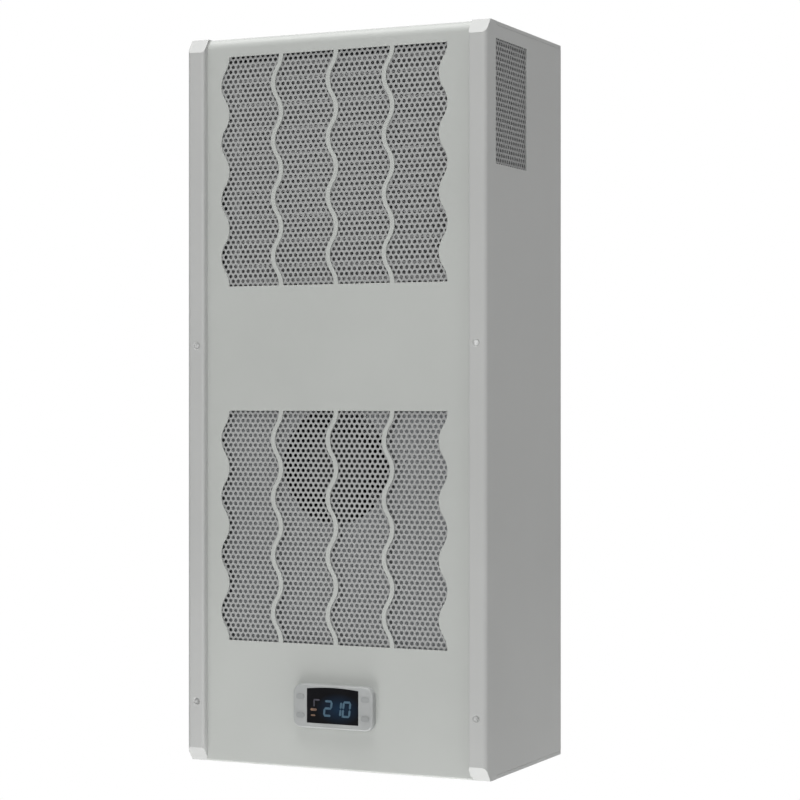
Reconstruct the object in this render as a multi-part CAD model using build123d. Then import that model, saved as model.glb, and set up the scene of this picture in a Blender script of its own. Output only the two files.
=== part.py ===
from build123d import *
import math
import os

os.makedirs("parts", exist_ok=True)

# Frame: X runs to the right, Y to the back, Z up, all in millimetres.
# The origin is the centre of the rear sealing face, which lies on the cabinet.

# Body
width = 290.0
height = 645.0
depth = 175.0
sheet = 1.5
corner_r = 4.0
gasket_t = 3.0
seat_gap = 0.3

# Front rails, folded from the side panels
rail_width = 17.0
rail_step = 7.0
rail_edge_r = 2.5
ledge_width = 12.0
ledge_bend_r = 0.4
rail_end_depth = 9.3
rail_end_height = 12.5
top_tab = 16.0
cover_lip = 2.0

# Centre front panel
panel_gap = 0.3
panel_top_r = 8.0
panel_bottom_r = 2.5

# Wavy grilles of the front panel
grille_side_gap = 39.0
grille_top_gap = 17.5
grille_bottom_gap = 109.0
grille_middle_gap = 110.5
grille_columns = 4
grille_bar = 4.2
wave_height = 4.0
wave_periods = 4

# Perforated sheets
perf_t = 1.0
perf_pitch = 5.0
perf_slot = 3.0
perf_margin = 0.8
perf_border = 3.0

# Side vents
vent_depth = 71.0
vent_height = 107.0
vent_setback = 21.0
vent_top_gap = 14.5

# Intake baffle and its round opening
baffle_t = 1.2
baffle_setback = 8.0
baffle_below = 18.5
baffle_above = 14.5
inlet_r = 51.5
fan_drop = 47.5

# Axial fan
fan_side = 119.0
fan_depth = 38.0
fan_bore_r = 56.0
fan_corner_r = 6.0
fan_flange_t = 4.0
tip_clearance = 5.5
hub_r = 30.0
hub_wall = 2.0
hub_depth = 26.0
hub_setback = 4.0
blade_count = 5
blade_t = 1.6
blade_root_angle = 50.0
blade_tip_angle = 30.0
blade_root_chord = 28.0
blade_tip_chord = 42.0
blade_camber = 3.0
shaft_r = 4.0
shaft_clearance = 0.05
boss_r = 8.0
stator_r = 22.0
strut_t = 3.0
strut_width = 6.0
strut_count = 4
motor_plate_r = 28.0

# Condenser coil
coil_tube_count = 18
coil_tube_t = 2.0
coil_depth = 20.0
coil_end_gap = 2.0
coil_setback = 21.0
tank_width = 14.0
bracket_t = 1.5
bracket_lap = 14.0

# Partition between the ambient and the cabinet air
cabinet_side_depth = 77.0
partition_t = 1.2

# Rear plate, its openings and its guards
rear_flange = 15.0
opening_side_gap = 55.0
return_height = 150.0
return_top_gap = 82.5
supply_height = 110.0
supply_bottom_gap = 62.5
guard_t = 1.0
guard_border = 6.0
guard_slot = 6.0
guard_bar = 3.0
gasket_inset = 4.0
gasket_width = 27.0
gasket_cross = 40.0
fixing_side_gap = 20.0
fixing_end_gap = 22.5
fixing_r = 3.5
gasket_hole_r = 5.5

# Panel controller
controller_rise = 55.5
bezel_width = 77.0
bezel_height = 38.0
bezel_depth = 6.5
bezel_corner_r = 8.0
bezel_edge_r = 1.6
body_width = 70.4
body_height = 28.4
body_depth = 60.0
body_clearance = 0.3
window_width = 50.0
window_height = 31.5
window_rise = 1.5
window_t = 1.2
window_recess = 0.3
window_lift = 1.3
key_width = 8.0
key_height = 4.6
key_x = 31.4
key_z = 8.2
key_t = 1.0
key_proud = 0.4

# Condensate drain
drain_setback = 27.0
drain_r = 7.0
drain_bore_r = 5.0
drain_reach = 10.0
drain_neck_r = 8.5
drain_flange_r = 12.0
drain_flange_t = 2.0

# Planes that the pieces share
side_x = width / 2
top_z = height / 2
rear_y = -gasket_t
front_y = rear_y - depth
rail_x = side_x - rail_width
panel_y = front_y + rail_step
panel_back_y = panel_y + sheet
ledge_back_y = panel_back_y + sheet
ledge_x = rail_x - ledge_width
inner_x = side_x - sheet
inner_z = top_z - sheet
cover_y = panel_y + top_tab
grille_width = width - 2 * grille_side_gap
grille_height = (height - grille_top_gap - grille_middle_gap - grille_bottom_gap) / 2
grille_x = -wave_height
coil_height = grille_height - 2 * coil_end_gap
upper_grille_z = top_z - grille_top_gap - grille_height / 2
lower_grille_z = grille_bottom_gap + grille_height / 2 - top_z
vent_y = front_y + vent_setback
vent_z = top_z - vent_top_gap - vent_height / 2
controller_z = controller_rise - top_z
partition_y = rear_y - cabinet_side_depth
opening_width = width - 2 * opening_side_gap
return_z = top_z - return_top_gap - return_height / 2
supply_z = supply_bottom_gap + supply_height / 2 - top_z
fixing_x = width - 2 * fixing_side_gap
fixing_z = height - 2 * fixing_end_gap
drain_y = rear_y - drain_setback
baffle_low_z = lower_grille_z - grille_height / 2 - baffle_below
baffle_high_z = lower_grille_z + grille_height / 2 + baffle_above
fan_z = lower_grille_z + grille_height / 2 - fan_drop
baffle_y = panel_y + baffle_setback
fan_y = baffle_y + baffle_t
fan_back_y = fan_y + fan_depth
rotor_r = fan_bore_r - tip_clearance


def block(x0, x1, y0, y1, z0, z1):
    """A box between two opposite corners."""
    centre = Pos((x0 + x1) / 2, (y0 + y1) / 2, (z0 + z1) / 2)
    return centre * Box(x1 - x0, y1 - y0, z1 - z0)


def round_bar(radius, y0, y1, x=0.0, z=0.0):
    """A cylinder along Y between two depths."""
    return Pos(x, (y0 + y1) / 2, z) * Rot(90, 0, 0) * Cylinder(radius, y1 - y0)


def facing(y, outline, thickness):
    """An outline drawn in X and Z, given thickness towards the back from depth y."""
    plane = Plane((0, y + thickness, 0), x_dir=(1, 0, 0), z_dir=(0, -1, 0))
    return extrude(plane * outline, thickness)


def folded(path, radii, side):
    """The section of a folded sheet whose outer face follows the path."""
    line = FilletPolyline(*path, radius=radii)
    return make_face(offset(line, amount=sheet, side=side))


def mirrored(shape):
    """The left-hand twin of a right-hand piece."""
    return mirror(shape, Plane.YZ)


def wave(x, z, middle_z):
    """Where a wavy line that runs down at x lies at height z of a grille."""
    half = grille_height / wave_periods / 4
    radius = (half**2 + wave_height**2) / (2 * wave_height)
    drop = middle_z + grille_height / 2 - z
    from_crest = (drop + half) % (2 * half) - half
    crest = -1 if (drop + half) // (2 * half) % 2 else 1
    return x + crest * (wave_height - radius + math.sqrt(radius**2 - from_crest**2))


def column_edges():
    """Mean left and right edges of the wavy columns, whose crests at the top are centred on the panel."""
    pitch = (grille_width + grille_bar) / grille_columns
    left = grille_x - grille_width / 2
    return [(left + i * pitch, left + (i + 1) * pitch - grille_bar) for i in range(grille_columns)]


def wavy_line(x, middle_z):
    """A wavy edge of tangent arcs, from the crest at a grille's top to the one at its bottom."""
    eighth = grille_height / wave_periods / 8
    count = 8 * wave_periods
    points = []
    for i in range(count + 1):
        z = middle_z + grille_height / 2 - i * eighth
        points.append((wave(x, z, middle_z), z))
    ends = [0, *range(2, count - 1, 4), count]
    arcs = []
    for a, b in zip(ends, ends[1:]):
        arcs.append(ThreePointArc(points[a], points[(a + b) // 2], points[b]))
    return arcs


def wavy_windows(middle_z):
    """The wavy openings of one grille as flat faces in X and Z."""
    faces = []
    for left, right in column_edges():
        left_edge = wavy_line(left, middle_z)
        right_edge = wavy_line(right, middle_z)
        top = Line(left_edge[0] @ 0, right_edge[0] @ 0)
        bottom = Line(left_edge[-1] @ 1, right_edge[-1] @ 1)
        faces.append(make_face([*left_edge, bottom, *right_edge, top]))
    return faces


def slotted_face(outline, slots):
    """A flat face with rectangular slots, each given as left, right, middle height and height."""
    holes = []
    for x0, x1, z, tall in slots:
        low = z - tall / 2
        high = z + tall / 2
        holes.append(Wire.make_polygon([(x0, low), (x1, low), (x1, high), (x0, high)], close=True))
    return Face(outline.wire(), holes)


def perforated_face(middle, middle_z, field_width, field_height, outer_width):
    """A sheet whose rows of holes, on a staggered pitch, are drawn as one slot a row."""
    half = field_width / 2 - perf_margin
    row_pitch = perf_pitch * math.sqrt(3) / 2
    rows = int((field_height - 2 * perf_margin - perf_slot) / row_pitch) + 1
    slots = []
    for i in range(rows):
        z = middle_z + (i - (rows - 1) / 2) * row_pitch
        slots.append((middle - half, middle + half, z, perf_slot))
    outline = Pos(middle, middle_z) * Rectangle(outer_width, field_height + 2 * perf_border)
    return slotted_face(outline, slots)


def grille_sheet(middle_z):
    """The perforated sheet behind the wavy windows, whose holes run on behind the bars."""
    field = grille_width + 2 * wave_height
    outer = min(field + 2 * perf_border, 2 * (ledge_x - seat_gap + grille_x))
    return facing(panel_back_y, perforated_face(grille_x, middle_z, field, grille_height, outer), perf_t)


def rail_end_slope():
    """Two points on the slope of a rail's top end, in Y and Z, and the way into the rail."""
    low = Vector(front_y, top_z - rail_end_height)
    high = Vector(front_y + rail_end_depth, top_z)
    along = (high - low).normalized()
    return low - along * rail_end_height, high + along * rail_end_height, Vector(along.Y, -along.X)


def right_side_panel():
    """Side wall, folded forward into the raised front rail and its ledge."""
    path = [
        (side_x, rear_y),
        (side_x, front_y),
        (rail_x, front_y),
        (rail_x, panel_back_y),
        (ledge_x, panel_back_y),
    ]
    section = folded(path, [corner_r, rail_edge_r, ledge_bend_r], Side.RIGHT)
    panel = extrude(section, top_z, both=True)

    rim = FilletPolyline(
        (rail_x, ledge_back_y),
        (rail_x, front_y),
        (side_x, front_y),
        (side_x, ledge_back_y),
        radius=[rail_edge_r, corner_r],
    )
    rail = extrude(make_face(rim + Line(rim @ 1, rim @ 0)), top_z, both=True)
    a, b, inward = rail_end_slope()
    away = inward * -rail_end_height
    outside = make_face(Polyline(a, b, b + away, a + away, close=True))
    slab = make_face(Polyline(a, b, b + inward * sheet, a + inward * sheet, close=True))
    cutter = extrude(Plane.YZ * outside, width, both=True)
    cap = extrude(Plane.YZ * slab, width, both=True)
    for end in (1, -1):
        if end < 0:
            cutter = mirror(cutter, Plane.XY)
            cap = mirror(cap, Plane.XY)
        panel = panel - cutter + (rail & cap)
        tab_z = sorted([end * inner_z, end * top_z])
        panel += block(rail_x, side_x, front_y + rail_end_depth, cover_y, *tab_z)
        lip_z = sorted([end * (inner_z - cover_lip), end * top_z])
        panel -= block(inner_x - sheet, side_x + sheet, cover_y, rear_y + sheet, *lip_z)
        bend_z = sorted([end * (top_z - panel_top_r - panel_gap), end * top_z])
        panel -= block(ledge_x - sheet, rail_x, panel_y, cover_y, *bend_z)

    panel -= block(inner_x - sheet, side_x + sheet, vent_y, vent_y + vent_depth,
                   vent_z - vent_height / 2, vent_z + vent_height / 2)
    return panel


def right_vent_grille():
    """Perforated sheet behind the side vent."""
    middle = vent_y + vent_depth / 2
    outer = vent_depth + 2 * perf_border
    plane = Plane((inner_x - perf_t, 0, 0), x_dir=(0, 1, 0), z_dir=(1, 0, 0))
    return extrude(plane * perforated_face(middle, vent_z, vent_depth, vent_height, outer), perf_t)


def cover(end):
    """Top cover or bottom tray: a sheet with a short lip along each side."""
    plate_z = sorted([end * inner_z, end * top_z])
    lip_z = sorted([end * (inner_z - cover_lip), end * inner_z])
    front = cover_y + seat_gap
    piece = block(-side_x, side_x, front, rear_y, *plate_z)
    for x0, x1 in ((inner_x, side_x), (-side_x, -inner_x)):
        piece += block(x0, x1, front, rear_y, *lip_z)
    return piece


def front_panel():
    """Centre panel with a wide top bend, a sharp bottom bend and the wavy windows."""
    path = [(cover_y, top_z), (panel_y, top_z), (panel_y, -top_z), (cover_y, -top_z)]
    section = folded(path, [panel_top_r, panel_bottom_r], Side.LEFT)
    panel = extrude(Plane.YZ * section, rail_x - panel_gap, both=True)
    openings = wavy_windows(upper_grille_z) + wavy_windows(lower_grille_z)
    cut_out = Rectangle(body_width + 2 * body_clearance, body_height + 2 * body_clearance)
    openings.append(Pos(0, controller_z) * cut_out)
    for opening in openings:
        panel -= facing(panel_y - sheet, opening, 3 * sheet)
    return panel


def intake_baffle():
    """Plate behind the lower grille with flanges forward and the round fan opening."""
    x = inner_x - seat_gap
    plate = block(-x, x, baffle_y, baffle_y + baffle_t, baffle_low_z, baffle_high_z)
    flange_x = x - sheet
    for z0 in (baffle_low_z, baffle_high_z - baffle_t):
        plate += block(-flange_x, flange_x, ledge_back_y, baffle_y, z0, z0 + baffle_t)
    return plate - round_bar(inlet_r, baffle_y - sheet, fan_y + sheet, grille_x, fan_z)


def fan_frame():
    """Square fan frame: two flanges, a round duct, struts and the motor plate."""
    square = RectangleRounded(fan_side, fan_side, fan_corner_r)
    frame = facing(fan_y, square, fan_flange_t)
    frame += facing(fan_back_y - fan_flange_t, square, fan_flange_t)
    frame = Pos(grille_x, 0, fan_z) * frame
    duct_r = fan_side / 2 - 0.5
    frame += round_bar(duct_r, fan_y, fan_back_y, grille_x, fan_z)
    frame -= round_bar(fan_bore_r, fan_y - 1, fan_back_y + 1, grille_x, fan_z)
    strut_y = fan_back_y - strut_t
    frame += round_bar(motor_plate_r, strut_y, fan_back_y, grille_x, fan_z)
    for i in range(strut_count):
        bar = block(motor_plate_r - 2, fan_bore_r + 1, strut_y, fan_back_y, -strut_width / 2, strut_width / 2)
        frame += Pos(grille_x, 0, fan_z) * Rot(0, 360 / strut_count * (i + 0.5), 0) * bar
    return frame


def fan_motor():
    """Stator and shaft on the motor plate, inside the rotor's cup."""
    base = fan_back_y - strut_t
    front = fan_y + hub_setback
    stator_front = front + hub_depth / 2
    motor = round_bar(stator_r, stator_front, base, grille_x, fan_z)
    return motor + round_bar(shaft_r, front + hub_wall + 1, stator_front, grille_x, fan_z)


def blade_section(radius, chord, angle):
    """Cambered section of a fan blade on a plane across its radius."""
    half = chord / 2
    thick = blade_t / 2
    front = ThreePointArc((-half, thick), (0, blade_camber + thick), (half, thick))
    back = ThreePointArc((-half, -thick), (0, blade_camber - thick), (half, -thick))
    ends = [Line(front @ 0, back @ 0), Line(front @ 1, back @ 1)]
    outline = make_face([front, back, *ends])
    plane = Plane((radius, 0, 0), x_dir=(0, 1, 0), z_dir=(1, 0, 0))
    return plane * (Rot(0, 0, angle) * outline)


def fan_rotor():
    """Hub cup that turns on the shaft, with its cambered blades."""
    front = fan_y + hub_setback
    back = front + hub_depth
    cup = round_bar(hub_r, front, back, grille_x, fan_z)
    cup = fillet(cup.faces().sort_by(Axis.Y)[0].edges(), hub_wall)
    cup -= round_bar(hub_r - hub_wall, front + hub_wall, back + 1, grille_x, fan_z)
    stator_front = front + hub_depth / 2
    cup += round_bar(boss_r, front + hub_wall, stator_front - 2, grille_x, fan_z)
    cup -= round_bar(shaft_r + shaft_clearance, front + hub_wall, back, grille_x, fan_z)
    root = blade_section(hub_r - hub_wall / 2, blade_root_chord, blade_root_angle)
    tip = blade_section(rotor_r + 3, blade_tip_chord, blade_tip_angle)
    blade = loft([root, tip])
    limit = round_bar(rotor_r, -hub_depth / 2, hub_depth / 2) - round_bar(
        hub_r - hub_wall / 2, -hub_depth, hub_depth)
    blade = blade & limit
    middle = (front + back) / 2
    for i in range(blade_count):
        cup += Pos(grille_x, middle, fan_z) * Rot(0, 360 / blade_count * i, 0) * blade
    return cup


def coil(front, middle_z, tall, tube_count):
    """Flat tubes between two upright end tanks, drawn as one flat face with the gaps left open."""
    half = grille_width / 2
    pitch = tall / tube_count
    gaps = []
    for i in range(tube_count - 1):
        z = middle_z + (i - tube_count / 2 + 1) * pitch
        gaps.append((-half, half, z, pitch - coil_tube_t))
    outline = Pos(0, middle_z) * Rectangle(grille_width + 2 * tank_width, tall)
    return facing(front, slotted_face(outline, gaps), coil_depth)


def right_coil_bracket(front, middle_z, tall, wall_x):
    """Upright plate behind a coil's end tank, out to the side wall."""
    y0 = front + coil_depth + seat_gap
    x0 = grille_width / 2 + tank_width - bracket_lap
    return block(x0, wall_x - seat_gap, y0, y0 + bracket_t, middle_z - tall / 2, middle_z + tall / 2)


def partition():
    """Upright plate that parts the ambient air from the cabinet air."""
    return block(-inner_x, inner_x, partition_y, partition_y + partition_t, -inner_z, inner_z)


def rear_plate():
    """Rear pan with the air openings, the fixing holes and a flange all round."""
    plate = block(-inner_x, inner_x, rear_y - rear_flange, rear_y, -inner_z, inner_z)
    plate -= block(sheet - inner_x, inner_x - sheet, rear_y - rear_flange - 1, rear_y - sheet,
                   sheet - inner_z, inner_z - sheet)
    for z, tall in ((return_z, return_height), (supply_z, supply_height)):
        plate -= block(-opening_width / 2, opening_width / 2, rear_y - 2 * sheet, rear_y + 1,
                       z - tall / 2, z + tall / 2)
    for x in (-fixing_x / 2, fixing_x / 2):
        for z in (-fixing_z / 2, fixing_z / 2):
            plate -= round_bar(fixing_r, rear_y - 2 * sheet, rear_y + 1, x, z)
    return plate


def guard(z, tall):
    """Slotted guard inside a rear opening."""
    pitch = guard_slot + guard_bar
    count = int((opening_width - guard_bar) / pitch)
    slots = []
    for i in range(count):
        x = (i - (count - 1) / 2) * pitch
        slots.append((x - guard_slot / 2, x + guard_slot / 2, z, tall - 2 * guard_bar))
    outline = Pos(0, z) * Rectangle(opening_width + 2 * guard_border, tall + 2 * guard_border)
    return facing(rear_y - sheet - guard_t, slotted_face(outline, slots), guard_t)


def rear_gasket():
    """Foam seal: a frame with one cross bar between the two air openings."""
    x = side_x - gasket_inset
    z = top_z - gasket_inset
    seal = block(-x, x, rear_y, 0, -z, z)
    half = gasket_cross / 2
    for z0, z1 in ((half, z - gasket_width), (gasket_width - z, -half)):
        seal -= block(gasket_width - x, x - gasket_width, rear_y - 1, 1, z0, z1)
    for hole_x in (-fixing_x / 2, fixing_x / 2):
        for hole_z in (-fixing_z / 2, fixing_z / 2):
            seal -= round_bar(gasket_hole_r, rear_y - 1, 1, hole_x, hole_z)
    return seal


def window_outline(clearance):
    """Display window: straight sides and bottom, and a slightly arched top."""
    x = window_width / 2 + clearance
    z = window_height / 2 + clearance
    arch = ThreePointArc((-x, z - window_rise), (0, z), (x, z - window_rise))
    rest = Polyline((x, z - window_rise), (x, -z), (-x, -z), (-x, z - window_rise))
    return Pos(0, controller_z + window_lift) * make_face([arch, rest])


def key_outlines(clearance):
    """The four oval keys, two on each side of the window."""
    tall = key_height + 2 * clearance
    oval = SlotOverall(key_width + 2 * clearance, tall)
    return [Pos(x, controller_z + z) * oval for x in (-key_x, key_x) for z in (-key_z, key_z)]


def controller_bezel():
    """Front frame of the controller with pockets for the window and the keys."""
    bezel_y = panel_y - bezel_depth
    outline = Pos(0, controller_z) * RectangleRounded(bezel_width, bezel_height, bezel_corner_r)
    bezel = facing(bezel_y, outline, bezel_depth)
    bezel = fillet(bezel.faces().sort_by(Axis.Y)[0].edges(), bezel_edge_r)
    bezel -= facing(bezel_y - 1, window_outline(0), 1 + window_recess + window_t)
    for key in key_outlines(0):
        bezel -= facing(bezel_y - 1, key, 1 + key_t - key_proud)
    return bezel


def controller_window():
    """Black display window, set just below the bezel's face."""
    return facing(panel_y - bezel_depth + window_recess, window_outline(0), window_t)


def controller_keys():
    """Four oval keys that stand a little proud of the bezel."""
    keys = [facing(panel_y - bezel_depth - key_proud, key, key_t) for key in key_outlines(0)]
    return Compound(children=keys)


def controller_body():
    """Controller case that reaches back through the panel's cut-out."""
    return block(-body_width / 2, body_width / 2, panel_y, panel_y + body_depth,
                 controller_z - body_height / 2, controller_z + body_height / 2)


def drain_spigot():
    """Condensate spigot: hose end below, a neck in the bottom tray's hole and a flange inside."""
    steps = [
        (drain_r, -top_z - drain_reach, -top_z),
        (drain_neck_r, -top_z, -inner_z),
        (drain_flange_r, -inner_z, -inner_z + drain_flange_t),
    ]
    spigot = Part()
    for radius, low, high in steps:
        spigot += Pos(0, drain_y, (low + high) / 2) * Cylinder(radius, high - low)
    return spigot - Pos(0, drain_y, 0) * Cylinder(drain_bore_r, 2 * height)


side = right_side_panel()
vent = right_vent_grille()
coil_y = panel_y + coil_setback
bracket = right_coil_bracket(coil_y, upper_grille_z, coil_height, inner_x - perf_t)
tray = cover(-1) - Pos(0, drain_y, -top_z) * Cylinder(drain_neck_r, 4 * sheet)

nodes = {
    "right_side_panel": side,
    "left_side_panel": mirrored(side),
    "top_cover": cover(1),
    "bottom_tray": tray,
    "front_panel": front_panel(),
    "upper_grille": grille_sheet(upper_grille_z),
    "lower_grille": grille_sheet(lower_grille_z),
    "right_vent_grille": vent,
    "left_vent_grille": mirrored(vent),
    "intake_baffle": intake_baffle(),
    "fan_frame": fan_frame(),
    "fan_motor": fan_motor(),
    "fan_rotor": fan_rotor(),
    "condenser_coil": coil(coil_y, upper_grille_z, coil_height, coil_tube_count),
    "right_coil_bracket": bracket,
    "left_coil_bracket": mirrored(bracket),
    "partition": partition(),
    "rear_plate": rear_plate(),
    "return_guard": guard(return_z, return_height),
    "supply_guard": guard(supply_z, supply_height),
    "rear_gasket": rear_gasket(),
    "controller_bezel": controller_bezel(),
    "controller_window": controller_window(),
    "controller_keys": controller_keys(),
    "controller_body": controller_body(),
    "drain_spigot": drain_spigot(),
}

for name, shape in nodes.items():
    export_step(shape, f"parts/{name}.step")
    print(name, round(shape.volume), shape.bounding_box())
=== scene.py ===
# %% [markdown]
# # A slim cooling unit for the wall of a cabinet
#
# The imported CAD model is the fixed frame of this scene: it says how large each piece is and where it
# sits. Here each visible piece gets the edges, the small parts and the finish that it has on the real
# unit. A piece that the CAD model already draws well keeps its mesh and gets a material. The others
# are modelled again, at the same size and place, from primitives that are shaped in edit mode.

# %% Load the frame
import math

import bmesh
import bpy
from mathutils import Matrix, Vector


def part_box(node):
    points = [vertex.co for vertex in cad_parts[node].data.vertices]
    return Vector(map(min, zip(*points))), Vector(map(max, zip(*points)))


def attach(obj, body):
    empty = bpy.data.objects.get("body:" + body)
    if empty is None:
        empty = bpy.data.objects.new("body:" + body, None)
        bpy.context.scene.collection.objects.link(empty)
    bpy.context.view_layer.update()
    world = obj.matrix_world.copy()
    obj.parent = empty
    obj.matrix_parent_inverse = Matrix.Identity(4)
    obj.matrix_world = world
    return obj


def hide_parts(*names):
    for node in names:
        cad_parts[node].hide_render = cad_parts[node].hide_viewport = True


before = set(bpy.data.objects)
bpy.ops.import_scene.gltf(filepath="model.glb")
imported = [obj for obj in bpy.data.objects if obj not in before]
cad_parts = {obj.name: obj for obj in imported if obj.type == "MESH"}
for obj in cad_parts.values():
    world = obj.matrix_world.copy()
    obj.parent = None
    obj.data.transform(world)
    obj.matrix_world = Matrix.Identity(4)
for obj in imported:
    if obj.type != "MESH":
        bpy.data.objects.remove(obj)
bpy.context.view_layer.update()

MM = 0.001

# %% [markdown]
# ## Working by hand, in code
#
# Modelling in code goes like modelling by hand: add a primitive, go into edit mode, select some faces
# or edges, and run an operator on them. The only difference is the selection. A hand clicks on an
# edge, and code says where the edge lies. These helpers keep that short. All sizes in this file are
# written in millimetres and turned into Blender's metres in one place.

# %% Selection and edit mode
def deselect():
    """Goes back to object mode with nothing selected."""
    if bpy.context.mode != "OBJECT":
        bpy.ops.object.mode_set(mode="OBJECT")
    bpy.ops.object.select_all(action="DESELECT")


def only(piece):
    """Selects one object and makes it the active one."""
    deselect()
    piece.select_set(True)
    bpy.context.view_layer.objects.active = piece
    return piece


def middle(element):
    """The middle of a vertex, an edge or a face, in millimetres."""
    corners = [element] if isinstance(element, bmesh.types.BMVert) else element.verts
    return sum((corner.co for corner in corners), Vector()) / len(corners) / MM


def pick(kind, test):
    """Selects the vertices, edges or faces that pass a test, which is given their middle too."""
    bpy.ops.mesh.select_mode(type=kind)
    bpy.ops.mesh.select_all(action="DESELECT")
    mesh = bmesh.from_edit_mesh(bpy.context.edit_object.data)
    elements = {"VERT": mesh.verts, "EDGE": mesh.edges, "FACE": mesh.faces}[kind]
    for element in elements:
        if test(middle(element), element):
            element.select_set(True)
    mesh.select_flush_mode()
    bmesh.update_edit_mesh(bpy.context.edit_object.data)


def near(one, other):
    """Whether two lengths in millimetres are the same, give or take a twentieth."""
    return abs(one - other) < 0.05


def open_edge(edge):
    """Whether an edge is on the rim of an open sheet."""
    return len(edge.link_faces) == 1


# %% [markdown]
# An edge of a sheet is folded by two moves: a spin makes the round of the fold, and an extrusion makes
# the flat behind it. After each move the new edge stays selected, so the moves can follow each other
# like the strokes of a press brake.

# %% Moves on the selection
X_AXIS = (1, 0, 0)
Y_AXIS = (0, 1, 0)
Z_AXIS = (0, 0, 1)
CUT_TOLERANCE = 0.001


def pull(x=0.0, y=0.0, z=0.0):
    """Extrudes what is selected by a distance in millimetres."""
    move = {"value": (x * MM, y * MM, z * MM)}
    bpy.ops.mesh.extrude_region_move(TRANSFORM_OT_translate=move)


def shift(x=0.0, y=0.0, z=0.0):
    """Moves what is selected by a distance in millimetres."""
    bpy.ops.transform.translate(value=(x * MM, y * MM, z * MM))


def fold(centre, axis, degrees, steps):
    """Turns the selected edge round a fold line by the right-hand rule. Spin counts the other way."""
    place = [c * MM for c in centre]
    bpy.ops.mesh.spin(steps=steps, angle=math.radians(-degrees), center=place, axis=axis)


def cut(point, normal, keep_all=True, test=lambda at, face: True):
    """Bisects the faces that pass a test, and drops what lies beyond the plane unless all is kept."""
    pick("FACE", test)
    place = [c * MM for c in point]
    bpy.ops.mesh.bisect(plane_co=place, plane_no=normal, clear_outer=not keep_all,
                        threshold=CUT_TOLERANCE * MM)


def drop_faces(test):
    """Deletes the faces that pass a test."""
    pick("FACE", test)
    bpy.ops.mesh.delete(type="FACE")


# %% Primitives and modifiers
WELD = 0.02
FINE_WELD = 0.01


def add_plate(name, low, high, across):
    """A plane primitive between two corners, square to the named axis, ready in edit mode."""
    deselect()
    turn = {"X": (0, math.pi / 2, 0), "Y": (math.pi / 2, 0, 0), "Z": (0, 0, 0)}[across]
    bpy.ops.mesh.primitive_plane_add(size=1, rotation=turn)
    bpy.ops.object.transform_apply()
    return place_primitive(name, low, high)


def add_block(name, low, high):
    """A cube primitive between two corners, ready in edit mode."""
    deselect()
    bpy.ops.mesh.primitive_cube_add(size=1)
    return place_primitive(name, low, high)


def place_primitive(name, low, high):
    """Gives a primitive of size one its corners, with its place in its mesh.

    A plate has no thickness, and any scale but zero keeps it flat and its normal whole.
    """
    piece = bpy.context.object
    piece.name = name
    piece.scale = [((end - start) or 1.0) * MM for start, end in zip(low, high)]
    piece.location = [(start + end) / 2 * MM for start, end in zip(low, high)]
    bpy.ops.object.transform_apply()
    bpy.ops.object.mode_set(mode="EDIT")
    return piece


def add_round(name, radius, y0, y1, x, z, sides=32):
    """A cylinder primitive along Y, ready in edit mode."""
    deselect()
    bpy.ops.mesh.primitive_cylinder_add(
        vertices=sides,
        radius=radius * MM,
        depth=(y1 - y0) * MM,
        location=(x * MM, (y0 + y1) / 2 * MM, z * MM),
        rotation=(math.pi / 2, 0, 0),
    )
    piece = bpy.context.object
    piece.name = name
    bpy.ops.object.transform_apply()
    bpy.ops.object.mode_set(mode="EDIT")
    return piece


def modify(piece, kind, **settings):
    """Adds a modifier to a piece and applies it."""
    only(piece)
    modifier = piece.modifiers.new(kind.title(), kind)
    for name, value in settings.items():
        setattr(modifier, name, value)
    bpy.ops.object.modifier_apply(modifier=modifier.name)


def repeat(piece, count, x=0.0, y=0.0, z=0.0, weld=False):
    """Lays copies of a piece a step in millimetres apart, and joins them where weld is set."""
    modify(piece, "ARRAY", count=count, use_relative_offset=False, use_constant_offset=True,
           constant_offset_displace=(x * MM, y * MM, z * MM), use_merge_vertices=weld,
           merge_threshold=WELD * MM)


def thicken(piece, thickness):
    """Gives a sheet its thickness, away from the side that its faces look to."""
    modify(piece, "SOLIDIFY", thickness=thickness * MM, offset=-1, use_even_offset=True)


def ease_edges(piece, width, segments=2, angle=35):
    """Rounds the sharp edges of a piece a little, as on any real one."""
    modify(piece, "BEVEL", width=width * MM, segments=segments, limit_method="ANGLE",
           angle_limit=math.radians(angle))
    only(piece)
    bpy.ops.object.shade_smooth_by_angle(angle=math.radians(30))


def even_shading(piece):
    """Lets flat faces keep one shade up to their bends, which alone turn the light."""
    modify(piece, "WEIGHTED_NORMAL", keep_sharp=True)


def cut_away(piece, tool):
    """Takes the tool's volume out of a piece and deletes the tool."""
    modify(piece, "BOOLEAN", operation="DIFFERENCE", object=tool, solver="EXACT")
    bpy.data.objects.remove(tool)


def face_towards(piece, direction):
    """Makes a sheet's faces agree, with the largest one looking in a direction."""
    only(piece)
    bpy.ops.object.mode_set(mode="EDIT")
    bpy.ops.mesh.select_all(action="SELECT")
    bpy.ops.mesh.remove_doubles(threshold=FINE_WELD * MM)
    bpy.ops.mesh.normals_make_consistent(inside=False)
    mesh = bmesh.from_edit_mesh(piece.data)
    largest = max(mesh.faces, key=lambda face: face.calc_area())
    if largest.normal.dot(Vector(direction)) < 0:
        bpy.ops.mesh.flip_normals()
    deselect()


def twin(piece, name):
    """The left-hand twin of a right-hand piece, with its own mesh."""
    only(piece)
    bpy.ops.object.duplicate()
    copy = bpy.context.object
    copy.name = name
    copy.scale = (-1, 1, 1)
    bpy.ops.object.transform_apply()
    bpy.ops.object.mode_set(mode="EDIT")
    bpy.ops.mesh.select_all(action="SELECT")
    bpy.ops.mesh.normals_make_consistent(inside=False)
    deselect()
    return copy


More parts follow.
